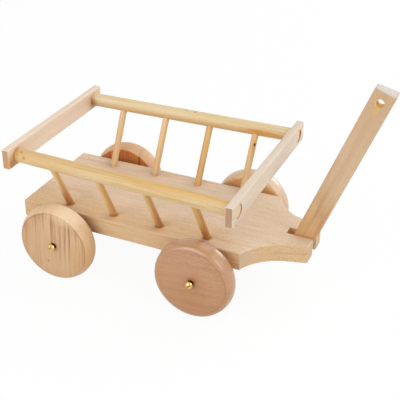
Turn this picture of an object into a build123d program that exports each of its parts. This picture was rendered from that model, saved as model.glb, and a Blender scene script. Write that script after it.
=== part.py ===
"""Wooden toy ladder wagon: slotted deck, two axle beams, four disc wheels, ladder sides and a hinged drawbar.

Millimetres and degrees. X points forward to the drawbar, Y to the left and Z up from the floor. Lengths along X are
measured from the deck's rear end; at the end everything moves so that the origin is on the floor under the middle
of the whole wagon.
"""

import os
from math import cos, radians, sin, tan

from build123d import *

# Deck board
DECK_LENGTH = 249.5
DECK_WIDTH = 100.0
DECK_THICKNESS = 16.0
SHOULDER_INSET = 46.5
NECK_LENGTH = 17.5
NECK_WIDTH = 45.0
NOSE_WIDTH = 35.0
NOSE_CORNER = 2.0

# Axle beams and wheels
REAR_AXLE_INSET = 42.0
FRONT_AXLE_INSET = 32.5
BEAM_HEIGHT = 14.5
BEAM_WIDTH = 18.0
BEAM_OVERHANG = 5.0
WHEEL_DIAMETER = 69.4
WHEEL_FACE = 63.4
WHEEL_THICKNESS = 16.5
TREAD_FLAT = 5.5
WHEEL_BORE = 5.5
WHEEL_GAP = 1.6

# Screws that carry the wheels
SCREW_DIAMETER = 3.5
SCREW_GRIP = 16.0
HEAD_DIAMETER = 7.0
HEAD_HEIGHT = 2.6
HEAD_FLAT = 3.4
HEAD_GAP = 3.0

# Rails and the crossbars that they run through
RAIL_DIAMETER = 12.0
RAIL_HEIGHT = 52.0
RAIL_SPREAD_REAR = 126.0
RAIL_SPREAD_FRONT = 140.0
RAIL_RECESS = 1.0
BAR_HEIGHT = 17.5
BAR_THICKNESS = 6.5
BAR_OVERHANG = 12.5
BAR_INSET = 1.0

# Spindles
SPINDLE_DIAMETER = 6.0
SPINDLE_COUNT = 4
SPINDLE_INSET = 32.4
SPINDLE_SPREAD = 77.0
DECK_SOCKET_DEPTH = 10.0
RAIL_SOCKET_DEPTH = 8.0

# Drawbar and its pin
DRAWBAR_LENGTH = 156.0
DRAWBAR_WIDTH = 17.5
DRAWBAR_THICKNESS = 8.0
DRAWBAR_ANGLE = 69.5
TIP_SLANT = 7.0
PULL_HOLE_DIAMETER = 6.5
PULL_HOLE_INSET = 11.0
PIVOT_INSET = 10.6
PIN_DIAMETER = 4.0
PIN_COVER = 4.0
SLOT_SIDE_GAP = 0.75
SLOT_END_GAP = 3.9

# Sanded arrises and fits
ARRIS = 0.6
GLUE_FIT = 0.05
TURNING_FIT = 0.3

# Levels and places that follow from the sizes above
AXLE_Z = WHEEL_DIAMETER / 2
DECK_BOTTOM = AXLE_Z + BEAM_HEIGHT / 2
DECK_TOP = DECK_BOTTOM + DECK_THICKNESS
RAIL_Z = DECK_TOP + RAIL_HEIGHT
BEAM_END = DECK_WIDTH / 2 + BEAM_OVERHANG
WHEEL_INNER = BEAM_END + WHEEL_GAP
WHEEL_OUTER = WHEEL_INNER + WHEEL_THICKNESS
HEAD_SEAT = WHEEL_OUTER + HEAD_GAP
SHOULDER_X = DECK_LENGTH - SHOULDER_INSET
NECK_X = DECK_LENGTH - NECK_LENGTH
REAR_AXLE_X = REAR_AXLE_INSET
FRONT_AXLE_X = SHOULDER_X - FRONT_AXLE_INSET
REAR_BAR_X = BAR_INSET
FRONT_BAR_X = SHOULDER_X - BAR_INSET
REAR_BAR_MID = REAR_BAR_X + BAR_THICKNESS / 2
FRONT_BAR_MID = FRONT_BAR_X + BAR_THICKNESS / 2
SPINDLE_FIRST_X = REAR_BAR_X + BAR_THICKNESS + SPINDLE_INSET
SPINDLE_LAST_X = FRONT_BAR_X - SPINDLE_INSET
SPINDLE_PITCH = (SPINDLE_LAST_X - SPINDLE_FIRST_X) / (SPINDLE_COUNT - 1)
PIVOT = Vector(DECK_LENGTH - PIVOT_INSET, 0, DECK_BOTTOM + DECK_THICKNESS / 2)
TIP_OFFSET = DRAWBAR_WIDTH / 2 * tan(radians(TIP_SLANT))
TIP_X = (
    PIVOT.X
    + (DRAWBAR_LENGTH + TIP_OFFSET) * cos(radians(DRAWBAR_ANGLE))
    + DRAWBAR_WIDTH / 2 * sin(radians(DRAWBAR_ANGLE))
)
TO_ORIGIN = Pos(-TIP_X / 2, 0, 0)

# Name and sign of Y for the two sides, and name, place along X and rail spread for the two ends
SIDES = (("left", 1), ("right", -1))
AXLES = (("front", FRONT_AXLE_X), ("rear", REAR_AXLE_X))
CROSSBARS = (("front", FRONT_BAR_MID, RAIL_SPREAD_FRONT), ("rear", REAR_BAR_MID, RAIL_SPREAD_REAR))


def dowel(start, end, diameter):
    """Round rod from one point to another."""
    axis = end - start
    rod = Cylinder(diameter / 2, axis.length, align=(Align.CENTER, Align.CENTER, Align.MIN))
    return Plane(origin=start, z_dir=axis) * rod


def rail_point(side, x):
    """Point on a rail's axis at a place along the wagon."""
    share = (x - REAR_BAR_MID) / (FRONT_BAR_MID - REAR_BAR_MID)
    spread = RAIL_SPREAD_REAR + share * (RAIL_SPREAD_FRONT - RAIL_SPREAD_REAR)
    return Vector(x, side * spread / 2, RAIL_Z)


def spindle_line(side, index):
    """Where a spindle's axis meets the deck's top and the rail's axis, and its direction upwards."""
    x = SPINDLE_FIRST_X + index * SPINDLE_PITCH
    foot = Vector(x, side * SPINDLE_SPREAD / 2, DECK_TOP)
    head = rail_point(side, x)
    return foot, head, (head - foot).normalized()


def spindle(side, index, fit=0.0):
    """Spindle from the bottom of its deck socket to the bottom of its rail socket."""
    foot, head, up = spindle_line(side, index)
    start = foot - up * DECK_SOCKET_DEPTH
    end = head + up * (RAIL_SOCKET_DEPTH - RAIL_DIAMETER / 2)
    return dowel(start, end, SPINDLE_DIAMETER + 2 * fit)


def rail_bore(side):
    """Round hole for a rail, longer than the rail so that it opens at both crossbars' outer faces."""
    start = rail_point(side, REAR_BAR_X - BAR_THICKNESS)
    end = rail_point(side, FRONT_BAR_X + 2 * BAR_THICKNESS)
    return dowel(start, end, RAIL_DIAMETER + 2 * GLUE_FIT)


def sanded(part):
    """Break every edge of a plain board a little."""
    return chamfer(part.edges(), ARRIS)


def pivot_rod(start_y, end_y, diameter):
    """Rod along the drawbar's pivot axis."""
    return dowel(PIVOT + (0, start_y, 0), PIVOT + (0, end_y, 0), diameter)


def deck():
    """Deck board with concave shoulders, the drawbar's slot, spindle sockets and the pin's bore."""
    half_width = DECK_WIDTH / 2
    neck = (NECK_X, NECK_WIDTH / 2)
    nose = (DECK_LENGTH, NOSE_WIDTH / 2)
    shoulder = (SHOULDER_X, half_width)
    half = make_face(
        [
            *Polyline((DECK_LENGTH, 0), (0, 0), (0, half_width), shoulder).edges(),
            TangentArc(neck, shoulder, tangent=(neck[0] - nose[0], neck[1] - nose[1])),
            *Polyline(neck, nose, (DECK_LENGTH, 0)).edges(),
        ]
    )
    board = extrude(half + mirror(half, Plane.XZ), DECK_THICKNESS)
    board = fillet(board.edges().filter_by(Axis.Z).group_by(Axis.X)[-1], NOSE_CORNER)
    rims = [face.edges() for face in (board.faces().sort_by(Axis.Z)[0], board.faces().sort_by(Axis.Z)[-1])]
    board = Pos(0, 0, DECK_BOTTOM) * chamfer(rims[0] + rims[1], ARRIS)
    slot_width = DRAWBAR_THICKNESS + 2 * SLOT_SIDE_GAP
    slot_depth = PIVOT_INSET + DRAWBAR_WIDTH / 2 + SLOT_END_GAP
    slot = Box(2 * slot_depth, slot_width, 2 * DECK_THICKNESS)
    board -= Pos(DECK_LENGTH, 0, PIVOT.Z) * slot
    board -= pivot_rod(PIN_COVER - NOSE_WIDTH / 2, NECK_WIDTH, PIN_DIAMETER + 2 * GLUE_FIT)
    for _, side in SIDES:
        for index in range(SPINDLE_COUNT):
            board -= spindle(side, index, GLUE_FIT)
    return board


def axle_beam(x):
    """Square beam glued under the deck, drilled at both ends for the wheel screws."""
    beam = sanded(Box(BEAM_WIDTH, 2 * BEAM_END, BEAM_HEIGHT))
    beam = Pos(x, 0, AXLE_Z) * beam
    for _, side in SIDES:
        inner = Vector(x, side * (BEAM_END - SCREW_GRIP), AXLE_Z)
        outer = Vector(x, side * WHEEL_INNER, AXLE_Z)
        beam -= dowel(inner, outer, SCREW_DIAMETER + 2 * GLUE_FIT)
    return beam


def wheel(x, side):
    """Disc wheel with a plain bore and a tread that swells from both faces to a narrow flat in the middle."""
    half, bore = WHEEL_THICKNESS / 2, WHEEL_BORE / 2
    tread = [
        (WHEEL_FACE / 2, -half),
        (WHEEL_DIAMETER / 2, -TREAD_FLAT / 2),
        (WHEEL_DIAMETER / 2, TREAD_FLAT / 2),
        (WHEEL_FACE / 2, half),
    ]
    section = make_face(Polyline((bore, -half), *tread, (bore, half), close=True).edges())
    disc = revolve(Plane.XZ * section, Axis.Z)
    middle = (x, side * (WHEEL_INNER + WHEEL_OUTER) / 2, AXLE_Z)
    return Plane(origin=middle, z_dir=(0, side, 0)) * disc


def axle_screw(x, side):
    """Screw driven into the beam's end, its head tapered up to a small flat."""
    length = HEAD_SEAT - BEAM_END + SCREW_GRIP
    shank, head, flat = SCREW_DIAMETER / 2, HEAD_DIAMETER / 2, HEAD_FLAT / 2
    outline = [(0, -length), (shank, -length), (shank, 0), (head, 0), (flat, HEAD_HEIGHT), (0, HEAD_HEIGHT)]
    section = make_face(Polyline(*outline, close=True).edges())
    screw = revolve(Plane.XZ * section, Axis.Z)
    return Plane(origin=(x, side * HEAD_SEAT, AXLE_Z), z_dir=(0, side, 0)) * screw


def rail(side):
    """Side rail with its spindles' sockets, sunk a little at both ends in the crossbars."""
    start = rail_point(side, REAR_BAR_X + RAIL_RECESS)
    end = rail_point(side, FRONT_BAR_X + BAR_THICKNESS - RAIL_RECESS)
    rod = dowel(start, end, RAIL_DIAMETER)
    for index in range(SPINDLE_COUNT):
        rod -= spindle(side, index, GLUE_FIT)
    return rod


def crossbar(x, spread):
    """Flat strip that carries both rails' ends."""
    strip = sanded(Box(BAR_THICKNESS, spread + 2 * BAR_OVERHANG, BAR_HEIGHT))
    strip = Pos(x, 0, RAIL_Z) * strip
    for _, side in SIDES:
        strip -= rail_bore(side)
    return strip


def drawbar():
    """Flat bar with a rounded foot on the pin and a hole near its tip, which is cut a little out of square."""
    half = DRAWBAR_WIDTH / 2
    foot_front, foot_rear = (0, -half), (0, half)
    outline = make_face(
        [
            *Polyline(
                foot_front,
                (DRAWBAR_LENGTH + TIP_OFFSET, -half),
                (DRAWBAR_LENGTH - TIP_OFFSET, half),
                foot_rear,
            ).edges(),
            ThreePointArc(foot_rear, (-half, 0), foot_front),
        ]
    )
    bar = sanded(extrude(outline, DRAWBAR_THICKNESS / 2, both=True))
    bar -= Cylinder(PIN_DIAMETER / 2 + TURNING_FIT, 2 * DRAWBAR_THICKNESS)
    bar -= Pos(DRAWBAR_LENGTH - PULL_HOLE_INSET, 0) * Cylinder(PULL_HOLE_DIAMETER / 2, 2 * DRAWBAR_THICKNESS)
    raised = Plane(
        origin=PIVOT,
        x_dir=(cos(radians(DRAWBAR_ANGLE)), 0, sin(radians(DRAWBAR_ANGLE))),
        z_dir=(0, -1, 0),
    )
    return raised * bar


def drawbar_pin():
    """Pin pushed in from the left, covered by wood on the right."""
    return pivot_rod(PIN_COVER - NOSE_WIDTH / 2, NOSE_WIDTH / 2, PIN_DIAMETER)


def pieces():
    """All pieces by node name, still measured from the deck's rear end."""
    nodes = {"deck": deck(), "drawbar": drawbar(), "drawbar_pin": drawbar_pin()}
    for end, x, spread in CROSSBARS:
        nodes[f"crossbar_{end}"] = crossbar(x, spread)
    for end, x in AXLES:
        nodes[f"axle_beam_{end}"] = axle_beam(x)
        for hand, side in SIDES:
            corner = f"{end}_{hand}"
            nodes[f"wheel_{corner}"] = wheel(x, side)
            nodes[f"axle_screw_{corner}"] = axle_screw(x, side)
    for hand, side in SIDES:
        nodes[f"rail_{hand}"] = rail(side)
        for index in range(SPINDLE_COUNT):
            nodes[f"spindle_{hand}_{index + 1}"] = spindle(side, index)
    return nodes


def main():
    """Write one file per piece."""
    os.makedirs("parts", exist_ok=True)
    for name, part in pieces().items():
        export_step(TO_ORIGIN * part, f"parts/{name}.step")


main()
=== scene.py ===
"""Wooden toy ladder wagon, dressed in sanded beech, birch dowel, brass and steel on a plain pale floor."""

import logging
import math
from collections.abc import Callable
from dataclasses import dataclass, field, replace
from enum import Enum
from typing import Any

import bmesh
import bpy
from mathutils import Matrix, Vector


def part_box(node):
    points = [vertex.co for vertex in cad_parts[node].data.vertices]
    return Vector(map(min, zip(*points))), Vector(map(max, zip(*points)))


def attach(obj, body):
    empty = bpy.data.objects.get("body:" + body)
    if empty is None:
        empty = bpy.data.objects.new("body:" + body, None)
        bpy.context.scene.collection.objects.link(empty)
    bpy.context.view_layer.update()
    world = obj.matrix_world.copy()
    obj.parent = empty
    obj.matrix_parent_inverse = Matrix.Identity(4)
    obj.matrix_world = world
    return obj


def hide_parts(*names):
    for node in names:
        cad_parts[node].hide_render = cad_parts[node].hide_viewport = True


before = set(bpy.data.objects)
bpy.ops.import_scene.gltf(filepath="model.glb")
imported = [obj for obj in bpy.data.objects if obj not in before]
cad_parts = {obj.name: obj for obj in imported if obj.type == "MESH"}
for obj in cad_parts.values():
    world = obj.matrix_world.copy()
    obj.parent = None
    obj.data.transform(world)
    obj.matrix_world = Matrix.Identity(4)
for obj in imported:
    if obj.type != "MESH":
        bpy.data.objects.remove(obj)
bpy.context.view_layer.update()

MM = 0.001
X_AXIS, Y_AXIS, Z_AXIS = Vector((1, 0, 0)), Vector((0, 1, 0)), Vector((0, 0, 1))
Colour = tuple[float, float, float, float]
Place = Vector | tuple[float, float, float]
Span = tuple[float, float]
Piece = bpy.types.Object
Material = bpy.types.Material
Socket = bpy.types.NodeSocket
LOG = logging.getLogger("ladder_wagon")


class Hand(Enum):
    """Side of the wagon, with its sign along Y."""

    LEFT = 1
    RIGHT = -1


class End(Enum):
    """End of the wagon."""

    FRONT = "front"
    REAR = "rear"


class Slot(Enum):
    """Names of two material slots of the record; no piece here takes its finish from them."""

    WHEEL_WOOD = "wheel_wood"
    SCREW_BRASS = "screw_brass"


class Blend(Enum):
    """How one colour is laid over another."""

    COVER = "MIX"
    STAIN = "MULTIPLY"


class Part(Enum):
    """Kind of mesh element to pick in edit mode."""

    EDGE = "EDGE"
    FACE = "FACE"


def ratio(over: Colour, base: Colour) -> Colour:
    """Stain that turns the base into the colour over it."""
    red, green, blue = (high / low for high, low in zip(over[:3], base[:3]))
    return (red, green, blue, 1.0)


def tone(red: int, green: int, blue: int) -> Colour:
    """Linear colour of an 8-bit display colour.

    Args:
        red: Red from 0 to 255.
        green: Green from 0 to 255.
        blue: Blue from 0 to 255.

    Returns:
        The linear colour with full alpha.
    """
    shares = (value / 255 for value in (red, green, blue))
    linear = [share / 12.92 if share <= 0.04045 else ((share + 0.055) / 1.055) ** 2.4 for share in shares]
    return (linear[0], linear[1], linear[2], 1.0)


class Signal:
    """Number that varies over a surface; arithmetic on it adds Math nodes."""

    def __init__(self, recipe: "Recipe", socket: Socket) -> None:
        """Wrap one output socket of a recipe's tree."""
        self.recipe = recipe
        self.socket = socket

    def __add__(self, other: "Signal | float") -> "Signal":
        """Sum."""
        return self.recipe.math("ADD", self, other)

    __radd__ = __add__

    def __sub__(self, other: "Signal | float") -> "Signal":
        """Difference."""
        return self.recipe.math("SUBTRACT", self, other)

    def __rsub__(self, other: float) -> "Signal":
        """Difference with the number on the left."""
        return self.recipe.math("SUBTRACT", other, self)

    def __mul__(self, other: "Signal | float") -> "Signal":
        """Product."""
        return self.recipe.math("MULTIPLY", self, other)

    __rmul__ = __mul__

    def __truediv__(self, other: "Signal | float") -> "Signal":
        """Quotient."""
        return self.recipe.math("DIVIDE", self, other)

    def __pow__(self, other: float) -> "Signal":
        """Power."""
        return self.recipe.math("POWER", self, other)

    def __abs__(self) -> "Signal":
        """Absolute value."""
        return self.recipe.math("ABSOLUTE", self)

    def root(self) -> "Signal":
        """Square root."""
        return self.recipe.math("SQRT", self)

    def between(self, low: float, high: float) -> "Signal":
        """Share of the way from low to high, held at 0 and 1."""
        return self.recipe.math("MULTIPLY", self - low, 1 / (high - low), use_clamp=True)


Wire = Signal | Socket
Axes = tuple[Signal, Signal, Signal]


class Recipe:
    """Node tree of one material or of the world."""

    def __init__(self, block: Material | bpy.types.World) -> None:
        """Switch on a block's nodes."""
        self.block = block
        self.block.use_nodes = True
        self.tree = block.node_tree

    def node(
        self,
        kind: str,
        settings: dict[str, Any] | None = None,
        inputs: dict[str, Any] | None = None,
    ) -> bpy.types.Node:
        """Add any node.

        Args:
            kind: The node's type.
            settings: Its properties, with a ramp's colours under "stops".
            inputs: Values or links of its sockets by identifier.

        Returns:
            The new node.
        """
        node = self.tree.nodes.new(kind)
        for key, value in (settings or {}).items():
            if key == "stops":
                self._set_stops(node.color_ramp, value)
            else:
                setattr(node, key, value)
        for key, value in (inputs or {}).items():
            self.feed(node, key, value)
        return node

    @staticmethod
    def _set_stops(ramp: bpy.types.ColorRamp, stops: list[tuple[float, Colour]]) -> None:
        """Give a ramp its colours.

        Args:
            ramp: The colour ramp.
            stops: Position and colour of each stop.
        """
        while len(ramp.elements) < len(stops):
            ramp.elements.new(1.0)
        for element, (position, colour) in zip(ramp.elements, stops):
            element.position = position
            element.color = colour

    def feed(self, node: bpy.types.Node, key: str, value: Any) -> None:
        """Set one input of a node.

        Args:
            node: The node.
            key: The socket's identifier.
            value: A signal or socket to link, or a constant.
        """
        socket = next(entry for entry in node.inputs if entry.identifier == key)
        if isinstance(value, Signal):
            self.tree.links.new(value.socket, socket)
        elif isinstance(value, Socket):
            self.tree.links.new(value, socket)
        else:
            socket.default_value = value

    def math(self, operation: str, *values: Signal | float, use_clamp: bool = False) -> Signal:
        """Math node on signals and numbers.

        Args:
            operation: The operation's name.
            values: One or two operands.
            use_clamp: Whether the result is held between 0 and 1.

        Returns:
            The result.
        """
        inputs = dict(zip(("Value", "Value_001"), values))
        node = self.node("ShaderNodeMath", {"operation": operation, "use_clamp": use_clamp}, inputs)
        return Signal(self, node.outputs[0])

    def dot(self, vector: Socket, along: Wire | Vector) -> Signal:
        """Dot product of a vector socket with a vector."""
        inputs = {"Vector": vector, "Vector_001": along}
        node = self.node("ShaderNodeVectorMath", {"operation": "DOT_PRODUCT"}, inputs)
        return Signal(self, node.outputs["Value"])

    def seen(self) -> Signal:
        """1 for what the camera, metal and glass see, 0 for light."""
        path = self.node("ShaderNodeLightPath").outputs
        camera, glossy, clear = (
            Signal(self, path[f"Is {ray} Ray"]) for ray in ("Camera", "Glossy", "Transmission")
        )
        return (camera + glossy + clear).between(0, 1)

    def facing(self, direction: Vector) -> Signal:
        """How squarely the surface looks along a direction, from -1 to 1."""
        return self.dot(self.node("ShaderNodeTexCoord").outputs["Normal"], direction.normalized())

    def sharp_edge(self, width: float) -> Signal:
        """1 on sharp edges and 0 on flat stretches, over a width in metres."""
        rounded = self.node("ShaderNodeBevel", {"samples": 4}, {"Radius": width}).outputs["Normal"]
        flat = self.node("ShaderNodeNewGeometry").outputs["Normal"]
        return (1 - self.dot(rounded, flat)).between(0.01, 0.2)

    def corner(self, reach: float) -> Signal:
        """1 deep in a corner and 0 in the open, within a reach in metres."""
        node = self.node("ShaderNodeAmbientOcclusion", {"samples": 6}, {"Distance": reach})
        return (1 - Signal(self, node.outputs["AO"])).between(0.1, 0.75)

    def noise(self, x: Signal, y: Signal, z: Signal, detail: float = 2.0) -> Signal:
        """Noise at a point whose unit is one blotch.

        Args:
            x: First coordinate.
            y: Second coordinate.
            z: Third coordinate.
            detail: Octaves of finer noise.

        Returns:
            Noise around 0.
        """
        place = self.node("ShaderNodeCombineXYZ", inputs={"X": x, "Y": y, "Z": z})
        inputs = {"Vector": place.outputs[0], "Scale": 1.0, "Detail": detail, "Roughness": 0.55}
        node = self.node("ShaderNodeTexNoise", inputs=inputs)
        return Signal(self, node.outputs["Fac"]) - 0.5

    def blend(
        self, share: Wire | float, base: Wire | Colour, over: Wire | Colour, way: Blend = Blend.COVER
    ) -> Socket:
        """Mix two colours.

        Args:
            share: How much of the second colour.
            base: First colour.
            over: Second colour.
            way: Whether the second colour covers the first or stains it.

        Returns:
            The mixed colour.
        """
        inputs = {"Factor_Float": share, "A_Color": base, "B_Color": over}
        node = self.node("ShaderNodeMix", {"data_type": "RGBA", "blend_type": way.value}, inputs)
        return next(entry for entry in node.outputs if entry.identifier == "Result_Color")

    def bump(self, height: Signal, distance: float, strength: float) -> Socket:
        """Normal that follows a height, with the real height of 1 in metres as its distance."""
        inputs = {"Height": height, "Distance": distance, "Strength": strength}
        return self.node("ShaderNodeBump", inputs=inputs).outputs["Normal"]

    def surface(self, **inputs: Any) -> Material:
        """Feed the shader's sockets, with underscores for spaces in their names.

        Args:
            inputs: Constants, signals or sockets.

        Returns:
            The finished material.
        """
        for key, value in inputs.items():
            self.feed(self.tree.nodes["Principled BSDF"], key.replace("_", " "), value)
        return self.block


@dataclass(frozen=True)
class Cut:
    """How a piece was sawn from the log, in metres and unit vectors.

    Attributes:
        origin: A point in the piece.
        grain: Direction of the fibres.
        across: Direction across the fibres towards the log's heart.
        heart: Distance from the origin to the log's heart, in millimetres.
        seed: Place in the log, which makes like pieces differ.
    """

    origin: Vector
    grain: Vector
    across: Vector
    heart: float
    seed: float

    def directions(self) -> tuple[Vector, Vector, Vector]:
        """Unit vectors along the fibres, towards the heart and sideways."""
        grain = self.grain.normalized()
        across = (self.across - grain * self.across.dot(grain)).normalized()
        return grain, across, grain.cross(across)

    def axes(self, recipe: Recipe) -> Axes:
        """Millimetres along the fibres, towards the heart and sideways.

        Args:
            recipe: Material that reads them.

        Returns:
            The three coordinates.
        """
        place = recipe.node("ShaderNodeTexCoord").outputs["Object"]
        inputs = {"Vector": place, "Vector_001": self.origin}
        local = recipe.node("ShaderNodeVectorMath", {"operation": "SUBTRACT"}, inputs).outputs["Vector"]
        along, inward, sideways = (recipe.dot(local, direction / MM) for direction in self.directions())
        return along, inward, sideways


@dataclass(frozen=True)
class Mark:
    """Knot, speck, streak or stain in one piece of wood.

    Attributes:
        place: Its middle, in millimetres.
        size: Its radius across the fibres, in millimetres.
        colour: Its tone.
        share: How strongly it shows.
        soft: Share of the radius over which its rim fades.
        stretch: How many times longer it is along the fibres.
        swirl: How far the fibres bend round it, in millimetres.
        way: Whether it covers the wood or tints it and lets the grain show.
    """

    place: Place
    size: float
    colour: Colour
    share: float = 0.7
    soft: float = 0.3
    stretch: float = 1.0
    swirl: float = 0.0
    way: Blend = Blend.COVER

    def gap(self, cut: Cut, axes: Axes) -> Signal:
        """Distance from the mark's middle, counted in its radii.

        Args:
            cut: How the piece was sawn.
            axes: Coordinates along the fibres, towards the heart and sideways.

        Returns:
            The distance.
        """
        offset = Vector(self.place) - cut.origin / MM
        there = [offset.dot(direction) for direction in cut.directions()]
        along, inward, sideways = (axis - value for axis, value in zip(axes, there))
        return ((along / self.stretch) ** 2 + inward ** 2 + sideways ** 2).root() / self.size


Marks = tuple[Mark, ...]


@dataclass(frozen=True)
class Figure:
    """One kind of blotch in the grain.

    Attributes:
        along: Blotches per millimetre along the fibres.
        across: Blotches per millimetre across the fibres.
        detail: Octaves of finer noise.
    """

    along: float
    across: float
    detail: float = 2.0

    def noise(self, recipe: Recipe, axes: Axes) -> Signal:
        """Noise around 0 with blotches of this kind in a material's axes."""
        along, inward, sideways = axes
        return recipe.noise(along * self.along, inward * self.across, sideways * self.across, self.detail)


BEND = Figure(along=0.011, across=0.04)
RING = Figure(along=0.008, across=0.02, detail=1.0)
FIBRE = Figure(along=0.035, across=1.5, detail=3.0)
STREAK = Figure(along=0.007, across=0.24)
FLECK = Figure(along=0.42, across=2.1, detail=1.0)
PATCH = Figure(along=0.012, across=0.035)

# Width, reach and depth of the woods' details in metres, then distances in millimetres
EDGE_WIDTH = 0.8 * MM
CORNER_REACH = 9 * MM
PORE_DEPTH = 0.12 * MM
LOG_STEP = 370.0
RING_BEND = 9.0
HEART_WAVE = 40.0
# Noise between which late wood, flecks and patches set in, the mean of late wood and the ramp's middle
LATE_SPAN = (0.02, 0.2)
LATE_MEAN = 0.3
FLECK_SPAN = (0.13, 0.22)
PATCH_SPAN = (-0.15, 0.2)
RAMP_MIDDLE = 0.48
# Facing between which end grain, sawn sides, a wheel's face, its inner face and its ring set in
END_TURN = (0.78, 0.95)
SIDE_TURN = (0.3, 0.7)
FACE_TURN = (0.75, 0.95)
INNER_TURN = (0.8, 0.95)
RING_TURN = (0.5, 0.9)
# Radii of a mark between which the bending of the fibres round it fades
SWIRL_REACH = (0.3, 3.0)
# Millimetres over which a wheel's figure fades, its lathe ring grows and its scorch fades, and their waves
FADE_SPAN = (22.0, -14.0)
UPPER_SPAN = (-25.0, 15.0)
SCORCH_SPAN = (8.0, 0.5)
FADE_WAVE = 60.0
UPPER_WAVE = 40.0

# Tone of the painted shade that darkens corners
SHADE = tone(196, 124, 66)


@dataclass(frozen=True)
class Timber:
    """Sanded bare wood with growth rings, fibres and flecks.

    Attributes:
        pale: Early wood.
        middle: Common tone.
        deep: Late wood and flecks.
        blush: Tone of broad patches.
        end: End grain.
        shade: Tone of the painted shade in corners.
        ring_width: Mean distance between growth rings, in millimetres.
        rings: Contrast of the growth rings.
        fibres: Contrast of fine streaks.
        streaks: Contrast of broad streaks.
        flecks: Contrast of short dashes.
        patches: Share of the broad patches.
        ends: Share of the end grain's tone.
        worn: Share of the pale tone on sharp edges, partly wear and partly painted highlight.
        corner_shade: Share of that painted shade in corners.
        roughness: Mean roughness.
        coat: Weight of a waxed film.
        coat_roughness: Roughness of that film.
    """

    pale: Colour
    middle: Colour
    deep: Colour
    blush: Colour
    end: Colour
    shade: Colour = SHADE
    ring_width: float = 3.2
    rings: float = 0.35
    fibres: float = 1.0
    streaks: float = 0.9
    flecks: float = 0.35
    patches: float = 0.7
    ends: float = 0.8
    worn: float = 0.5
    corner_shade: float = 0.6
    roughness: float = 0.58
    coat: float = 0.0
    coat_roughness: float = 0.24

    def material(self, name: str, cut: Cut, marks: Marks = ()) -> Material:
        """Make this wood for one piece.

        Args:
            name: The material's name.
            cut: How the piece was sawn.
            marks: Knots and specks.

        Returns:
            The material.
        """
        recipe = Recipe(bpy.data.materials.new(name))
        along, inward, sideways = axes = cut.axes(recipe)
        gaps = [mark.gap(cut, axes) for mark in marks]
        for mark, gap in zip(marks, gaps):
            if mark.swirl:
                sideways = sideways + mark.swirl * (1 - gap.between(*SWIRL_REACH))
        far_along = along + cut.seed * LOG_STEP
        axes = (far_along, inward, sideways)
        bend, fibre, streak = (figure.noise(recipe, axes) for figure in (BEND, FIBRE, STREAK))
        radius = ((inward - cut.heart) ** 2 + sideways ** 2).root() + bend * RING_BEND
        rings = (radius / self.ring_width, far_along * RING.along, sideways * RING.across)
        late = recipe.noise(*rings, RING.detail).between(*LATE_SPAN)
        fleck = FLECK.noise(recipe, axes).between(*FLECK_SPAN)
        patch = PATCH.noise(recipe, axes).between(*PATCH_SPAN)
        depth = self.rings * (late - LATE_MEAN) + self.fibres * fibre
        depth = depth + self.streaks * streak + self.flecks * fleck
        stops = [(0.0, self.pale), (0.5, self.middle), (1.0, self.deep)]
        ramp = recipe.node("ShaderNodeValToRGB", {"stops": stops}, {"Fac": depth + RAMP_MIDDLE})
        colour = recipe.blend(patch * self.patches, ramp.outputs["Color"], self.blush)
        colour = self.tint(recipe, cut, colour, bend)
        end = abs(recipe.facing(cut.grain)).between(*END_TURN)
        colour = recipe.blend(end * self.ends, colour, self.end)
        for mark, gap in zip(marks, gaps):
            inside = 1 - (gap + fibre).between(1 - mark.soft, 1 + mark.soft)
            over = mark.colour if mark.way is Blend.COVER else ratio(mark.colour, self.middle)
            colour = recipe.blend(inside * mark.share, colour, over, mark.way)
        # Sharp edges turn pale: partly wear, partly painted highlight where light catches them.
        edge = recipe.sharp_edge(EDGE_WIDTH)
        colour = recipe.blend(edge * self.worn, colour, self.pale)
        # Painted shade: corners darken towards the shade tone where ambient occlusion finds them.
        colour = recipe.blend(recipe.corner(CORNER_REACH) * self.corner_shade, colour, self.shade)
        return recipe.surface(
            Base_Color=colour,
            Roughness=self.roughness + 0.18 * fibre + 0.12 * end - 0.1 * edge,
            Normal=recipe.bump(fibre + 0.3 * late - 0.6 * fleck, PORE_DEPTH, 0.35),
            Coat_Weight=self.coat,
            Coat_Roughness=self.coat_roughness,
        )

    def tint(self, recipe: Recipe, cut: Cut, colour: Wire, bend: Signal) -> Wire:
        """Colour of one kind of piece over its wood; plain timber keeps its own."""
        return colour


@dataclass(frozen=True)
class BoardTimber(Timber):
    """Wide board, pale in the middle, with heartwood along one edge.

    Attributes:
        heartwood: Tone of the heartwood and of the sawn sides.
        heart_edge: Distances sideways between which the heartwood sets in, in millimetres.
        heart_end: Distances along the board between which the heartwood sets in, in millimetres.
    """

    heartwood: Colour = (0.6, 0.4, 0.2, 1.0)
    heart_edge: Span = (-12.0, -36.0)
    heart_end: Span = (85.0, 40.0)

    def tint(self, recipe: Recipe, cut: Cut, colour: Wire, bend: Signal) -> Wire:
        """Lay the heartwood over the board's edge and sides.

        Args:
            recipe: The material.
            cut: How the board was sawn.
            colour: The wood's colour.
            bend: Waviness of the fibres.

        Returns:
            The new colour.
        """
        along, _, sideways = cut.axes(recipe)
        strip = (sideways + bend * HEART_WAVE).between(*self.heart_edge) * along.between(*self.heart_end)
        sides = abs(recipe.facing(cut.directions()[2])).between(*SIDE_TURN)
        stain = ratio(self.heartwood, self.middle)
        return recipe.blend(recipe.math("MAXIMUM", strip, sides), colour, stain, Blend.STAIN)


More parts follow.
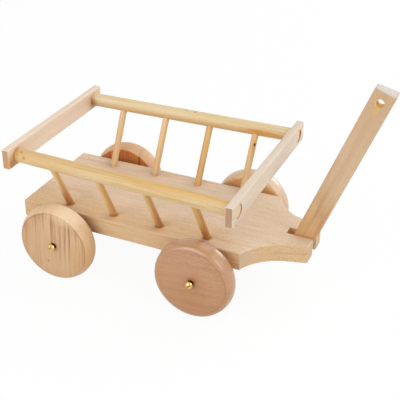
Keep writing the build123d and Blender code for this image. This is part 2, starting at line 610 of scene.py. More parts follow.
@dataclass(frozen=True)
class WheelTimber(Timber):
    """Disc turned from a board, its axis across the wagon.

    Attributes:
        tread: Tone of the turned tread, paler partly as painted light.
        inner: Painted shade on the face that looks at the deck.
        line_tone: Tone of the ring that the lathe left on the outer face.
        line: Radius of that ring, in millimetres.
        line_share: How strongly it shows.
        fading: Share by which the figure fades towards one end of the fibres.
        tread_share: Share of the tread's tone.
    """

    tread: Colour = (0.6, 0.4, 0.25, 1.0)
    inner: Colour = (0.4, 0.15, 0.05, 1.0)
    line_tone: Colour = (0.3, 0.12, 0.04, 1.0)
    line: float = 30.0
    line_share: float = 0.4
    fading: float = 0.0
    tread_share: float = 0.6

    def tint(self, recipe: Recipe, cut: Cut, colour: Wire, bend: Signal) -> Wire:
        """Fade the figure, tone the tread, paint shade on the inner face and draw the lathe's ring.

        Args:
            recipe: The material.
            cut: How the disc was sawn; its origin is the wheel's middle.
            colour: The wood's colour.
            bend: Waviness of the fibres.

        Returns:
            The new colour.
        """
        along, inward, _ = cut.axes(recipe)
        faded = (along + bend * FADE_WAVE).between(*FADE_SPAN)
        colour = recipe.blend(faded * self.fading, colour, self.middle)
        outward = recipe.facing(Y_AXIS if cut.origin.y > 0 else -Y_AXIS)
        # Paler tread tone, partly the turned wood's own and partly painted light.
        tread = 1 - abs(outward).between(*FACE_TURN)
        colour = recipe.blend(tread * self.tread_share, colour, self.tread)
        # Painted shade: the face that looks at the deck is stained darker and redder.
        inner = (-1 * outward).between(*INNER_TURN)
        colour = recipe.blend(inner, colour, ratio(self.inner, self.middle), Blend.STAIN)
        depth = self.line - (along ** 2 + inward ** 2).root() + bend * 2
        ring = 1 - abs(depth).between(0.1, 0.9)
        dashes = recipe.noise(along * 0.03, inward * 0.4, inward * 0.05, 1.0).between(-0.12, 0.12)
        scorch = depth.between(-0.5, 0.5) * depth.between(*SCORCH_SPAN) * dashes * 0.75
        upper = (along + bend * UPPER_WAVE).between(*UPPER_SPAN) * 0.7 + 0.3
        share = recipe.math("MAXIMUM", ring, scorch) * upper * outward.between(*RING_TURN)
        return recipe.blend(share * self.line_share, colour, self.line_tone)


@dataclass(frozen=True)
class Metal:
    """Turned metal with light tarnish.

    Attributes:
        bright: Clean metal.
        dull: Tarnish.
        corner_shade: Painted shade in corners and the slot.
        roughness: Roughness of clean metal.
        shade_reach: Reach of that painted shade, in metres.
        scratch_depth: Depth of fine scratches, in metres.
    """

    bright: Colour
    dull: Colour
    corner_shade: Colour
    roughness: float
    shade_reach: float = 1.2 * MM
    scratch_depth: float = 0.02 * MM

    def material(self, name: str) -> Material:
        """Make this metal.

        Args:
            name: The material's name.

        Returns:
            The material.
        """
        recipe = Recipe(bpy.data.materials.new(name))
        place = recipe.node("ShaderNodeTexCoord").outputs["Object"]
        x, y, z = (recipe.dot(place, axis / MM) for axis in (X_AXIS, Y_AXIS, Z_AXIS))
        tarnish = recipe.noise(x * 0.8, y * 0.8, z * 0.8, 4.0).between(-0.1, 0.3)
        scratch = recipe.noise(x * 6, y * 1.5, z * 6)
        worn = recipe.blend(tarnish * 0.7, self.bright, self.dull)
        # Painted shade: corners and the slot darken where ambient occlusion finds them.
        return recipe.surface(
            Base_Color=recipe.blend(recipe.corner(self.shade_reach), worn, self.corner_shade),
            Metallic=1.0,
            Roughness=self.roughness + 0.25 * tarnish + 0.1 * scratch,
            Normal=recipe.bump(scratch, self.scratch_depth, 0.3),
        )


def tones(*displays: tuple[int, int, int]) -> dict[str, Colour]:
    """Tones of a wood from 8-bit display colours, in the order pale, middle, deep, blush and end."""
    return dict(zip(("pale", "middle", "deep", "blush", "end"), (tone(*display) for display in displays)))


BOARD = BoardTimber(
    **tones((235, 213, 188), (220, 194, 166), (184, 143, 106), (218, 189, 160), (194, 164, 126)),
    rings=0.2,
    fibres=1.3,
    streaks=0.5,
    flecks=0.75,
    corner_shade=0.1,
    heartwood=tone(208, 174, 132),
)
BEAM = Timber(**tones((222, 190, 158), (207, 170, 134), (170, 126, 90), (204, 164, 126), (180, 138, 102)))
FRONT_STRIP = Timber(
    **tones((228, 213, 194), (215, 199, 179), (190, 165, 138), (214, 194, 172), (166, 126, 90)),
    ends=0.9,
    worn=0.25,
)
REAR_STRIP = replace(
    FRONT_STRIP,
    **tones((238, 222, 203), (228, 207, 184), (204, 175, 146), (226, 200, 174), (175, 138, 101)),
)
LEVER = Timber(
    **tones((220, 196, 166), (204, 176, 142), (170, 132, 94), (208, 177, 144), (204, 197, 190)),
    fibres=1.1,
    ends=1.0,
    worn=0.2,
    corner_shade=0.3,
)
NEAR_RAIL = Timber(
    **tones((220, 194, 155), (208, 179, 131), (180, 132, 68), (210, 169, 105), (226, 202, 170)),
    ring_width=2.6,
    rings=0.3,
    streaks=1.3,
    corner_shade=0.45,
)
FAR_RAIL = replace(
    NEAR_RAIL, **tones((229, 211, 178), (216, 196, 157), (184, 148, 96), (216, 188, 138))
)
PALE_SPINDLE = replace(
    NEAR_RAIL,
    **tones((236, 210, 170), (226, 194, 146), (196, 152, 92), (224, 186, 130)),
    shade=tone(182, 120, 62),
)
GOLDEN_SPINDLE = replace(
    PALE_SPINDLE, **tones((230, 198, 144), (216, 176, 114), (182, 130, 66), (216, 168, 96))
)
TAN_SPINDLE = replace(
    PALE_SPINDLE, **tones((226, 194, 144), (213, 174, 116), (182, 128, 66), (208, 160, 94))
)
AMBER_SPINDLE = replace(
    PALE_SPINDLE, **tones((220, 184, 126), (205, 163, 95), (172, 118, 54), (200, 152, 80))
)
STRIPED_WHEEL = WheelTimber(
    **tones((216, 184, 146), (198, 161, 121), (146, 94, 54), (200, 158, 114), (210, 176, 138)),
    ring_width=2.4,
    rings=0.6,
    fibres=1.9,
    streaks=1.1,
    ends=0.3,
    worn=0.9,
    corner_shade=0.15,
    roughness=0.5,
    tread=tone(230, 196, 154),
    inner=tone(198, 117, 58),
    line_tone=tone(146, 94, 54),
    line=31.0,
    line_share=0.6,
    fading=0.6,
)
ROSY_WHEEL = replace(
    STRIPED_WHEEL,
    **tones((222, 184, 148), (202, 154, 116), (142, 82, 48)),
    tread=tone(230, 188, 142),
)
PLAIN_WHEEL = WheelTimber(
    **tones((199, 156, 118), (183, 136, 95), (150, 98, 59), (178, 126, 84), (192, 148, 108)),
    rings=0.15,
    fibres=0.9,
    streaks=0.4,
    flecks=0.6,
    ends=0.3,
    worn=0.3,
    corner_shade=0.15,
    roughness=0.36,
    coat=0.7,
    tread=tone(187, 140, 96),
    inner=tone(200, 146, 92),
    line_tone=tone(152, 104, 52),
    line_share=0.6,
)
PALE_WHEEL = replace(
    PLAIN_WHEEL,
    **tones((224, 194, 160), (210, 174, 136), (178, 130, 86), (208, 166, 124)),
    tread=tone(220, 192, 160),
    inner=tone(218, 168, 112),
)
BRASS = Metal(bright=tone(232, 196, 120), dull=tone(150, 110, 56), corner_shade=tone(58, 38, 18), roughness=0.24)
STEEL = Metal(bright=tone(196, 196, 192), dull=tone(120, 116, 110), corner_shade=tone(60, 54, 48), roughness=0.32)


def dress(piece: Piece, material: Material) -> None:
    """Give a piece one material.

    Args:
        piece: The piece.
        material: Its material.
    """
    piece.data.materials.clear()
    piece.data.materials.append(material)
    LOG.info("dressed %s", piece.name)


def centre_of(node: str) -> Vector:
    """Middle of a CAD node's box."""
    low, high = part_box(node)
    return (low + high) / 2


def axis_of(node: str, along: int) -> Vector:
    """Direction of a straight rod.

    Args:
        node: The rod's CAD node.
        along: Index of the coordinate in which the rod is long.

    Returns:
        Unit vector from its low end to its high end.
    """
    middle = centre_of(node)[along]
    points = [vertex.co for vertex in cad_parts[node].data.vertices]
    ends = [[point for point in points if (point[along] > middle) is high] for high in (False, True)]
    low, high = (sum(end, Vector()) / len(end) for end in ends)
    return (high - low).normalized()


def at_height(rod: str, height: float) -> Vector:
    """Point of an upright rod's axis at a height, both in millimetres."""
    middle, axis = centre_of(rod) / MM, axis_of(rod, 2)
    return middle + axis * ((height - middle.z) / axis.z)


def top_of_deck() -> float:
    """Height of the deck's upper face, in millimetres."""
    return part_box("deck")[1].z / MM


class Bench:
    """Moves by hand that every new piece shares."""

    @staticmethod
    def clear() -> None:
        """Deselect everything."""
        bpy.ops.object.select_all(action="DESELECT")

    @staticmethod
    def take(piece: Piece) -> None:
        """Make one piece the only selected and active one."""
        Bench.clear()
        piece.select_set(True)
        bpy.context.view_layer.objects.active = piece

    @staticmethod
    def pick(piece: Piece, part: Part, test: Callable[[Any], bool]) -> None:
        """Select the edges or faces of a piece in edit mode that pass a test.

        Args:
            piece: The piece in edit mode.
            part: Edges or faces.
            test: Says whether an element is wanted.
        """
        bpy.ops.mesh.select_mode(type=part.value)
        bpy.ops.mesh.select_all(action="DESELECT")
        mesh = bmesh.from_edit_mesh(piece.data)
        for element in mesh.edges if part is Part.EDGE else mesh.faces:
            element.select_set(test(element))
        mesh.select_flush_mode()
        bmesh.update_edit_mesh(piece.data)

    @staticmethod
    def modify(piece: Piece, kind: str, **settings: Any) -> None:
        """Add a modifier and apply it.

        Args:
            piece: The piece.
            kind: The modifier's type.
            settings: Its properties.
        """
        Bench.take(piece)
        modifier = piece.modifiers.new(kind.lower(), kind)
        for key, value in settings.items():
            setattr(modifier, key, value)
        bpy.ops.object.modifier_apply(modifier=modifier.name)

    @staticmethod
    def smooth(piece: Piece, angle: float) -> None:
        """Merge doubles, turn faces outwards and smooth edges flatter than an angle in degrees."""
        Bench.take(piece)
        bpy.ops.object.mode_set(mode="EDIT")
        bpy.ops.mesh.select_all(action="SELECT")
        bpy.ops.mesh.remove_doubles(threshold=0.001 * MM)
        bpy.ops.mesh.normals_make_consistent(inside=False)
        bpy.ops.object.mode_set(mode="OBJECT")
        bpy.ops.object.shade_smooth_by_angle(angle=math.radians(angle))

    @staticmethod
    def copy_to(
        piece: Piece, name: str, place: Vector, turn: tuple[float, float, float]
    ) -> Piece:
        """Copy a modelled piece with its own mesh, turned and put in place.

        Args:
            piece: The modelled piece at the origin.
            name: The copy's name.
            place: Where the origin goes.
            turn: Turns about X, Y and Z in degrees.

        Returns:
            The copy, its place in its mesh.
        """
        copy = piece.copy()
        copy.data = piece.data.copy()
        copy.name = copy.data.name = name
        bpy.context.scene.collection.objects.link(copy)
        copy.location = place
        copy.rotation_euler = [math.radians(angle) for angle in turn]
        Bench.take(copy)
        bpy.ops.object.transform_apply(location=True, rotation=True, scale=True)
        return copy


@dataclass
class Deck:
    """Deck board, its fibres along the wagon, with painted shadows beside spindles' feet, dark glue and
    painted contact shade at the right spindles' feet, and painted light in the drawbar's slot and on its
    side by the front wheel.
    """

    heart: float = 160.0
    seed: float = 0.3
    foot_shadows: tuple[Span, ...] = ((-116.0, 36.0), (-70.0, 38.0), (-26.0, 36.0), (-27.0, -34.0))
    # Painted light: the drawbar slot's walls brightened against the shade in the slot.
    slot: Mark = Mark((81, 1.5, 47), 11.0, tone(246, 203, 154), share=1.0, soft=0.12, way=Blend.STAIN)
    # Painted light: the deck's side by the front wheel brightened where it lies in shade.
    shoulder: Mark = Mark((44, -50, 47), 7.0, tone(242, 210, 172), share=0.9, soft=0.4, way=Blend.STAIN)
    joint_shift: Place = (0.2, -0.5, 0.0)

    def build(self) -> None:
        """Dress the board."""
        cut = Cut(centre_of("deck"), X_AXIS, -Z_AXIS, self.heart, self.seed)
        # Painted shadows on the deck's top beside the spindles' feet.
        foot_shadows = tuple(
            Mark((x, y, top_of_deck()), 5.0, tone(186, 142, 104), share=0.2, soft=0.7, stretch=1.6)
            for x, y in self.foot_shadows
        )
        feet = (at_height(f"spindle_right_{number}", top_of_deck()) for number in range(1, 5))
        # Dark rings at the right spindles' feet: glue, and painted contact shade in the joint.
        joints = tuple(
            Mark(foot + Vector(self.joint_shift), 3.9, tone(120, 74, 38), soft=0.2) for foot in feet
        )
        marks = (*foot_shadows, self.slot, self.shoulder, *joints)
        dress(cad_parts["deck"], BOARD.material("deck_beech", cut, marks))


@dataclass(frozen=True)
class Corner:
    """One wheel with its screw.

    Attributes:
        end: End of the wagon.
        hand: Side of the wagon.
        wood: The wheel's wood.
        seed: Place of that wood in the log.
        slot_turn: Turn of the screw's slot, in degrees.
        marks: Marks in the wheel, placed from its middle with Y outwards.
    """

    end: End
    hand: Hand
    wood: WheelTimber
    seed: float
    slot_turn: float
    marks: Marks

    @property
    def name(self) -> str:
        """End and side as the CAD nodes name them."""
        return f"{self.end.value}_{self.hand.name.lower()}"

    def marks_at(self, middle: Vector) -> Marks:
        """The marks of a wheel whose middle is there, in metres."""
        outwards = Vector((1, self.hand.value, 1))
        return tuple(replace(mark, place=middle / MM + Vector(mark.place) * outwards) for mark in self.marks)


# A reddish stain beside the hub, and painted warm shade low on the face.
HUB_STAIN_AND_SHADE = (
    Mark((2.5, 8.2, 0.8), 6.0, tone(160, 92, 58), share=0.45, soft=0.9),
    Mark((4, 8.2, -18), 23.0, tone(176, 121, 72), share=0.85, soft=0.9, way=Blend.STAIN),
)
SPECK = Mark((-6.2, 8.2, -16.8), 0.9, tone(120, 74, 42))
# Painted highlight on the top of the rear tread and painted shade on its right side.
TREAD_HIGHLIGHT_AND_SHADE = (
    Mark((14, -3.28, 31), 14.0, tone(248, 222, 188), share=0.75, soft=0.7, stretch=0.5),
    Mark((33, 0, -6), 13.0, tone(190, 138, 76), share=0.7, soft=0.8, way=Blend.STAIN),
)


@dataclass
class RunningGear:
    """Axle beams, disc wheels and the round-head screws that carry them.

    Lengths are in metres, creases in degrees and distances to the log's heart in millimetres.
    """

    face_diameter: float = 63.4 * MM
    bore_diameter: float = 5.5 * MM
    bore_round: float = 0.4 * MM
    front_round: float = 2.4 * MM
    rear_round: float = 0.5 * MM
    tread_points: int = 144
    tread_rings: int = 11
    wheel_crease: float = 35.0
    level_slack: float = 0.01 * MM
    radius_slack: float = 0.05 * MM
    head_points: int = 48
    head_height: float = 2.6 * MM
    shank_radius: float = 1.75 * MM
    screw_round: float = 0.12 * MM
    screw_crease: float = 40.0
    slot_width: float = 1.3 * MM
    slot_depth: float = 1.4 * MM
    beam_heart: float = 90.0
    wheel_heart: float = 180.0
    corners: tuple[Corner, ...] = (
        Corner(End.FRONT, Hand.RIGHT, PLAIN_WHEEL, 3.1, 40.0, HUB_STAIN_AND_SHADE),
        Corner(End.REAR, Hand.RIGHT, STRIPED_WHEEL, 4.1, 65.0, (SPECK, *TREAD_HIGHLIGHT_AND_SHADE)),
        Corner(End.FRONT, Hand.LEFT, PALE_WHEEL, 5.1, -20.0, HUB_STAIN_AND_SHADE),
        Corner(End.REAR, Hand.LEFT, ROSY_WHEEL, 6.1, 100.0, (SPECK,)),
    )

    def build(self) -> None:
        """Dress the beams and make the wheels and screws."""
        self._beams()
        wheels = {End.FRONT: self._wheel(self.front_round), End.REAR: self._wheel(self.rear_round)}
        screw = self._screw()
        for corner in self.corners:
            self._place_wheel(wheels[corner.end], corner)
            self._place_screw(screw, corner)
        for pattern in (*wheels.values(), screw):
            bpy.data.objects.remove(pattern)

    def _beams(self) -> None:
        """Dress both axle beams, their fibres across the wagon."""
        for seed, end in enumerate(End):
            node = f"axle_beam_{end.value}"
            cut = Cut(centre_of(node), Y_AXIS, Vector((0.4, 0, -1)), self.beam_heart, 1.7 + seed)
            dress(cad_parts[node], BEAM.material(f"{node}_beech", cut))

    def _wheel(self, edge_round: float) -> Piece:
        """Model one wheel at the origin, its axis along Z.

        Args:
            edge_round: How far the edge between face and tread is rounded.

        Returns:
            The wheel.
        """
        low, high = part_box("wheel_front_right")
        radius, half = (high.z - low.z) / 2, (high.y - low.y) / 2
        face, bore = self.face_diameter / 2, self.bore_diameter / 2
        Bench.clear()
        bpy.ops.mesh.primitive_cylinder_add(vertices=self.tread_points, radius=face, depth=2 * half)
        wheel = bpy.context.object
        bpy.ops.object.mode_set(mode="EDIT")
        Bench.pick(wheel, Part.FACE, lambda element: abs(element.normal.z) > 0.9)
        bpy.ops.mesh.inset(thickness=face - bore, use_individual=True)
        bpy.ops.mesh.bridge_edge_loops()
        self._crown_tread(wheel, face, radius, half)
        for ring, offset, steps in ((face, edge_round, 5), (bore, self.bore_round, 2)):
            Bench.pick(wheel, Part.EDGE, lambda element: self._is_ring(element, ring, half))
            bpy.ops.mesh.bevel(offset=offset, segments=steps, affect="EDGES")
        bpy.ops.object.mode_set(mode="OBJECT")
        Bench.smooth(wheel, self.wheel_crease)
        Bench.modify(wheel, "WEIGHTED_NORMAL", keep_sharp=True)
        return wheel

    def _crown_tread(self, wheel: Piece, face: float, radius: float, half: float) -> None:
        """Divide the tread into rings and swell them on an arc.

        Args:
            wheel: The wheel in edit mode.
            face: Radius at both faces.
            radius: Full radius in the middle.
            half: Half of the thickness.
        """
        Bench.pick(wheel, Part.EDGE, lambda element: self._is_upright(element, face))
        bpy.ops.mesh.subdivide(number_cuts=self.tread_rings)
        swell = radius - face
        arc = (half ** 2 + swell ** 2) / (2 * swell)
        for number in range(self.tread_rings // 2 + 1):
            level = 2 * half * number / (self.tread_rings + 1)
            share = (radius - arc + math.sqrt(arc ** 2 - level ** 2)) / face
            Bench.pick(wheel, Part.EDGE, lambda element: self._is_ring(element, face, level))
            bpy.ops.transform.resize(value=(share, share, 1), center_override=(0, 0, 0))

    def _is_upright(self, edge: bmesh.types.BMEdge, radius: float) -> bool:
        """Whether an edge runs along Z on a cylinder of that radius."""
        first, last = (vertex.co.xy for vertex in edge.verts)
        return (first - last).length < self.level_slack and abs(first.length - radius) < self.radius_slack

    def _is_ring(self, edge: bmesh.types.BMEdge, radius: float, level: float) -> bool:
        """Whether an edge lies on a ring about Z.

        Args:
            edge: The edge.
            radius: The ring's radius.
            level: The ring's height above or below 0.

        Returns:
            True on the ring.
        """
        points = [vertex.co for vertex in edge.verts]
        gaps = [(abs(abs(point.z) - level), abs(point.xy.length - radius)) for point in points]
        return all(high < self.level_slack and wide < self.radius_slack for high, wide in gaps)

    def _screw(self) -> Piece:
        """Model one screw at the origin, its head's seat at 0 and its axis along Z.

        Returns:
            The screw.
        """
        low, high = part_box("axle_screw_front_right")
        length, head, height = high.y - low.y, (high.z - low.z) / 2, self.head_height
        ball = (head ** 2 + height ** 2) / (2 * height)
        points = {"segments": self.head_points, "ring_count": self.head_points // 2}
        Bench.clear()
        bpy.ops.mesh.primitive_uv_sphere_add(radius=ball, location=(0, 0, height - ball), **points)
        screw = bpy.context.object
        bpy.ops.object.transform_apply(location=True)
        bpy.ops.object.mode_set(mode="EDIT")
        bpy.ops.mesh.select_all(action="SELECT")
        bpy.ops.mesh.bisect(plane_co=(0, 0, 0), plane_no=(0, 0, 1), use_fill=True, clear_inner=True)
        Bench.pick(screw, Part.FACE, lambda face: face.normal.z < -0.9)
        bpy.ops.mesh.inset(thickness=head - self.shank_radius)
        bpy.ops.mesh.extrude_region_move(TRANSFORM_OT_translate={"value": (0, 0, height - length)})
        bpy.ops.object.mode_set(mode="OBJECT")
        cutter = self._slot_cutter(head)
        Bench.modify(screw, "BOOLEAN", object=cutter, operation="DIFFERENCE", solver="EXACT")
        bpy.data.objects.remove(cutter)
        limit = {"limit_method": "ANGLE", "angle_limit": math.radians(self.screw_crease)}
        Bench.modify(screw, "BEVEL", width=self.screw_round, segments=2, **limit)
        Bench.smooth(screw, self.screw_crease)
        return screw

    def _slot_cutter(self, head: float) -> Piece:
        """Block that cuts the driving slot.

        Args:
            head: The head's radius.

        Returns:
            The block.
        """
        Bench.clear()
        bpy.ops.mesh.primitive_cube_add(size=1, location=(0, 0, self.head_height))
        cutter = bpy.context.object
        cutter.scale = (3 * head, self.slot_width, 2 * self.slot_depth)
        bpy.ops.object.transform_apply(location=True, scale=True)
        return cutter

    def _place_wheel(self, pattern: Piece, corner: Corner) -> None:
        """Put one wheel on its body, its fibres level in front and upright at the rear.

        Args:
            pattern: The modelled wheel.
            corner: Where it goes.
        """
        node = f"wheel_{corner.name}"
        middle = centre_of(node)
        wheel = Bench.copy_to(pattern, f"turned_wheel_{corner.name}", middle, (90, 0, 0))
        upright = corner.end is End.REAR
        grain, across = (Vector((0.05, 0, 1)), X_AXIS) if upright else (Vector((1, 0, 0.06)), Z_AXIS)
        cut = Cut(middle, grain, across, self.wheel_heart, corner.seed)
        dress(wheel, corner.wood.material(f"{node}_beech", cut, corner.marks_at(middle)))
        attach(wheel, node)
        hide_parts(node)

    def _place_screw(self, pattern: Piece, corner: Corner) -> None:
        """Drive one screw into its beam.

        Args:
            pattern: The modelled screw.
            corner: Where it goes.
        """
        node = f"axle_screw_{corner.name}"
        low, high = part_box(node)
        seat = centre_of(node)
        seat.y = high.y - self.head_height if corner.hand is Hand.LEFT else low.y + self.head_height
        spun = Bench.copy_to(pattern, "spun_screw", Vector(), (0, 0, corner.slot_turn))
        turn = (-90 * corner.hand.value, 0, 0)
        screw = Bench.copy_to(spun, f"slotted_screw_{corner.name}", seat, turn)
        bpy.data.objects.remove(spun)
        dress(screw, BRASS.material(f"{node}_brass"))
        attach(screw, "wagon")
        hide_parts(node)


@dataclass(frozen=True)
class Spindle:
    """One spindle: how strongly its foot's dark glue and painted contact shade and its flank's painted shade
    show, and the height of its knot.
    """

    hand: Hand
    number: int
    wood: Timber
    foot_share: float
    flank_shade_share: float
    knot: float | None = None


@dataclass
class LadderSides:
    """Rails, spindles and the crossbars that hold the rails' ends, in millimetres."""

    rod_heart: float = 40.0
    bar_heart: float = 70.0
    first_seed: float = 9.6
    seed_step: float = 1.37
    flank_shift: Place = (2.6, -1.4, 0.0)
    knot_shift: Place = (2.2, -2.0, 1.0)
    spindles: tuple[Spindle, ...] = (
        Spindle(Hand.LEFT, 1, PALE_SPINDLE, 0.2, 0.15),
        Spindle(Hand.LEFT, 2, PALE_SPINDLE, 0.2, 0.15),
        Spindle(Hand.LEFT, 3, GOLDEN_SPINDLE, 0.1, 0.15),
        Spindle(Hand.LEFT, 4, PALE_SPINDLE, 0.15, 0.15, knot=97.5),
        Spindle(Hand.RIGHT, 1, PALE_SPINDLE, 0.95, 0.5),
        Spindle(Hand.RIGHT, 2, GOLDEN_SPINDLE, 0.4, 0.5),
        Spindle(Hand.RIGHT, 3, TAN_SPINDLE, 0.75, 0.5),
        Spindle(Hand.RIGHT, 4, AMBER_SPINDLE, 0.85, 0.5),
    )
    left_marks: Marks = (
        Mark((-49, 66.6, 115.9), 1.1, tone(140, 110, 60)),
        Mark((-40, 65.6, 115.8), 0.9, tone(150, 116, 60), stretch=2),
        # Painted shade: a warm band along the far rail's lower flank.
        Mark((-45, 61, 107.7), 2.8, tone(198, 146, 82), 0.55, soft=0.8, stretch=60),
        Mark((26, 63.2, 109.2), 3.2, tone(204, 148, 58), 0.8, soft=0.6, stretch=5),
        Mark((21, 62.9, 110.6), 0.9, tone(196, 120, 40), 0.6, soft=0.6, stretch=7),
        Mark((-142.5, 57.6, 109), 3.6, tone(150, 104, 46), soft=0.7),
    )
    right_marks: Marks = (
        Mark((-139, -67, 113), 6.0, tone(212, 170, 102), share=0.6, soft=0.6, swirl=2.0),
        Mark((-140.1, -68.1, 113.3), 1.5, tone(190, 150, 60), stretch=0.8),
        Mark((-141.2, -65.7, 115.3), 1.3, tone(190, 138, 70)),
        Mark((-136.6, -66.5, 115), 1.1, tone(158, 110, 56)),
        Mark((-133.2, -69.2, 111.7), 1.4, tone(170, 124, 54)),
        Mark((15, -70, 115), 2.6, tone(214, 166, 84), share=0.6, soft=0.8, stretch=26),
        # Painted contact shade: a dark ring where the rail enters the rear crossbar.
        Mark((-143.3, -63.2, 110), 8.0, tone(168, 116, 60), 0.65, soft=0.4, stretch=0.14),
    )
    rear_marks: Marks = (
        Mark((-143.6, -72.6, 106), 6.0, tone(198, 146, 84), share=0.85, soft=0.6),
        Mark((-143.6, -71.2, 104.6), 2.6, tone(190, 118, 52), share=0.6, soft=0.6),
        Mark((-143.6, 58.5, 105), 3.5, tone(176, 128, 70), share=0.6, soft=0.7),
    )

    def build(self) -> None:
        """Dress all rods and strips, each with its own piece of wood."""
        strips = ((End.FRONT, FRONT_STRIP, 5.2, ()), (End.REAR, REAR_STRIP, 6.2, self.rear_marks))
        for end, timber, seed, marks in strips:
            node = f"crossbar_{end.value}"
            cut = Cut(centre_of(node), Y_AXIS, X_AXIS, self.bar_heart, seed)
            dress(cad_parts[node], timber.material(f"{node}_beech", cut, marks))
        rails = ((Hand.LEFT, FAR_RAIL, 8.4, self.left_marks), (Hand.RIGHT, NEAR_RAIL, 6.4, self.right_marks))
        for hand, timber, seed, marks in rails:
            node = f"rail_{hand.name.lower()}"
            dress(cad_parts[node], timber.material(f"{node}_birch", self._cut(node, 0, seed), marks))
        for spindle in self.spindles:
            self._spindle(spindle)

    def _spindle(self, spindle: Spindle) -> None:
        """Dress one spindle, its foot darkened by glue and painted contact shade, one flank by painted
        shade.

        Args:
            spindle: The spindle.
        """
        node = f"spindle_{spindle.hand.name.lower()}_{spindle.number}"
        seed = self.first_seed + spindle.number * self.seed_step + spindle.hand.value
        cut = self._cut(node, 2, seed)
        foot, share = at_height(node, top_of_deck()), spindle.foot_share
        flank = cut.origin / MM + Vector(self.flank_shift)
        # The foot takes dark glue and painted contact shade; one flank takes painted shade.
        marks = [
            Mark(foot, 7.0, tone(178, 98, 36), share, soft=0.8, stretch=2.4),
            Mark(flank, 2.0, tone(190, 126, 62), spindle.flank_shade_share, soft=0.6, stretch=12),
            Mark(foot, 4.0, tone(120, 66, 26), 0.6 * share ** 0.5, soft=0.5, stretch=0.4),
        ]
        if spindle.knot:
            knot = at_height(node, spindle.knot) + Vector(self.knot_shift)
            marks.append(Mark(knot, 1.1, tone(84, 48, 20), 0.95, soft=0.2, stretch=1.3, swirl=0.8))
            marks.insert(0, Mark(knot, 2.6, tone(204, 150, 66), 0.6, soft=0.7, stretch=3))
        dress(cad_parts[node], spindle.wood.material(f"{node}_birch", cut, tuple(marks)))

    def _cut(self, node: str, along: int, seed: float) -> Cut:
        """Cut of one rod that is long in that coordinate, its fibres along it."""
        return Cut(centre_of(node), axis_of(node, along), Vector((0.3, 0.8, 0.5)), self.rod_heart, seed)


@dataclass
class Drawbar:
    """Drawbar and its pin, in degrees and millimetres."""

    angle: float = 69.5
    hole: Place = (138.6, 0.0, 185.8)
    tip_slant: float = 2.2
    heart: float = 60.0
    seed: float = 13.9

    def build(self) -> None:
        """Dress the bar with fibres along it, darker towards its upper end, golden round its hole with
        painted light on the hole's wall, and the pin.
        """
        bar, pin = (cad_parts[node] for node in ("drawbar", "drawbar_pin"))
        lean = math.radians(self.angle)
        grain = Vector((math.cos(lean), 0, math.sin(lean)))
        middle = Vector(self.hole)
        reach = max(vertex.co.dot(grain) for vertex in bar.data.vertices) / MM - self.tip_slant / 2
        near_pin = centre_of("drawbar_pin") / MM + grain * 10
        below, tip = middle - grain * 6 - Y_AXIS * 4, middle + grain * (reach - middle.dot(grain))
        foot = Mark(near_pin, 34.0, tone(200, 156, 102), share=0.9, soft=0.7, way=Blend.STAIN)
        # Darker towards the bar's upper end.
        upper_darkening = Mark(middle, 55.0, tone(186, 148, 108), share=0.65, soft=0.9)
        streak = Mark(below, 1.8, tone(216, 170, 88), share=0.6, soft=0.6, stretch=2.4)
        # Golden knot tone round the hole; its wall is brightened as painted light.
        hole = Mark(middle, 4.8, tone(248, 206, 114), share=0.9, soft=0.15, swirl=4.0)
        sawn = Mark(tip, 14.0, tone(208, 202, 196), share=0.9, soft=0.3, stretch=0.13)
        cut = Cut(centre_of("drawbar"), grain, Y_AXIS, self.heart, self.seed)
        dress(bar, LEVER.material("drawbar_beech", cut, (foot, upper_darkening, streak, hole, sawn)))
        dress(pin, STEEL.material("drawbar_pin_steel"))


@dataclass(frozen=True)
class Lamp:
    """Soft area lamp aimed at the wagon.

    Attributes:
        name: The lamp's name.
        place: Where it hangs, in metres.
        size: Side of its square, in metres.
        power: Watts.
    """

    name: str
    place: tuple[float, float, float]
    size: float
    power: float


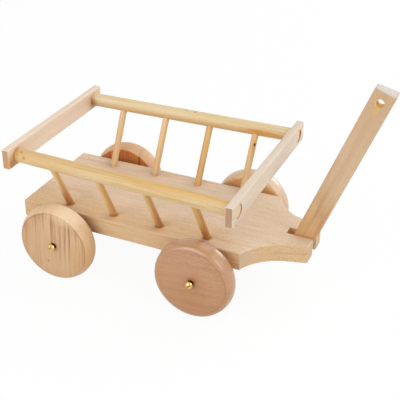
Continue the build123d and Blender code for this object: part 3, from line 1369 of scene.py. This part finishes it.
@dataclass
class Studio:
    """Pale floor, white surroundings, soft lamps and the camera of the picture."""

    floor_size: float = 8.0
    floor_white: float = 0.86
    floor_roughness: float = 0.9
    floor_glow: float = 0.94
    world_light: float = 0.5
    backdrop_white: float = 0.975
    lamps: tuple[Lamp, ...] = (
        Lamp("key", (0.8, 0.8, 1.5), 2.4, 17.8),
        Lamp("fill", (-0.6, -1.4, 0.75), 1.2, 12.8),
        Lamp("side", (1.35, -0.45, 0.95), 0.8, 6.5),
        Lamp("rim", (0.45, 1.67, 0.5), 0.4, 3.5),
    )
    azimuth: float = 23.81
    elevation: float = 30.19
    roll: float = 0.66
    distance: float = 740.4 * MM
    lens: float = 77.72
    shift: Span = (0.0023, -0.003)
    clip: float = 10 * MM
    target: Vector = field(default_factory=lambda: Vector((-6.05, 0.0, 68.06)) * MM)

    def build(self) -> None:
        """Set up everything round the wagon."""
        bpy.context.scene.view_settings.view_transform = "Standard"
        self._floor()
        self._world()
        for lamp in self.lamps:
            self._hang(lamp)
        self._camera()

    def _floor(self) -> None:
        """Floor that keeps a soft shadow and is white to the camera."""
        Bench.clear()
        bpy.ops.mesh.primitive_plane_add(size=self.floor_size)
        floor = bpy.context.object
        floor.name = "floor"
        recipe = Recipe(bpy.data.materials.new("pale_floor"))
        paint = recipe.surface(Base_Color=(*[self.floor_white] * 3, 1), Roughness=self.floor_roughness)
        white = recipe.node("ShaderNodeEmission", inputs={"Color": (1, 1, 1, 1), "Strength": 1.0})
        shaders = {"Shader": recipe.tree.nodes["Principled BSDF"].outputs[0], "Shader_001": white.outputs[0]}
        mix = recipe.node("ShaderNodeMixShader", inputs={"Fac": recipe.seen() * self.floor_glow, **shaders})
        recipe.feed(recipe.tree.nodes["Material Output"], "Surface", mix.outputs[0])
        dress(floor, paint)

    def _world(self) -> None:
        """Even light from all round, white to the camera."""
        recipe = Recipe(bpy.data.worlds.new("white_room"))
        background = recipe.tree.nodes["Background"]
        recipe.feed(background, "Color", (1, 1, 1, 1))
        strength = self.world_light + recipe.seen() * (self.backdrop_white - self.world_light)
        recipe.feed(background, "Strength", strength)
        bpy.context.scene.world = recipe.block

    def _hang(self, lamp: Lamp) -> None:
        """Hang one lamp and aim it at the wagon.

        Args:
            lamp: The lamp.
        """
        Bench.clear()
        bpy.ops.object.light_add(type="AREA", location=lamp.place)
        light = bpy.context.object
        light.name = f"lamp_{lamp.name}"
        light.rotation_euler = (self.target - light.location).to_track_quat("-Z", "Y").to_euler()
        light.data.size = lamp.size
        light.data.energy = lamp.power

    def _camera(self) -> None:
        """Put the camera where the picture was taken from."""
        azimuth, elevation, roll = map(math.radians, (self.azimuth, self.elevation, self.roll))
        right = Vector((math.cos(azimuth), math.sin(azimuth), 0))
        ahead = Vector((-math.sin(azimuth), math.cos(azimuth), 0))
        back = Z_AXIS * math.sin(elevation) - ahead * math.cos(elevation)
        up = back.cross(right)
        sideways = right * math.cos(roll) + up * math.sin(roll)
        axes = Matrix((sideways, back.cross(sideways), back)).transposed().to_4x4()
        Bench.clear()
        bpy.ops.object.camera_add()
        camera = bpy.context.object
        camera.name = "picture_camera"
        camera.matrix_world = Matrix.Translation(self.target + back * self.distance) @ axes
        camera.data.lens = self.lens
        camera.data.shift_x, camera.data.shift_y = self.shift
        camera.data.clip_start = self.clip
        bpy.context.scene.camera = camera


def main() -> None:
    """Build the wagon's parts in order, then the studio."""
    logging.basicConfig(level=logging.INFO, format="%(name)s: %(message)s")
    for group in (Deck(), RunningGear(), LadderSides(), Drawbar(), Studio()):
        group.build()
        LOG.info("built %s", type(group).__name__)


if __name__ == "__main__":
    main()
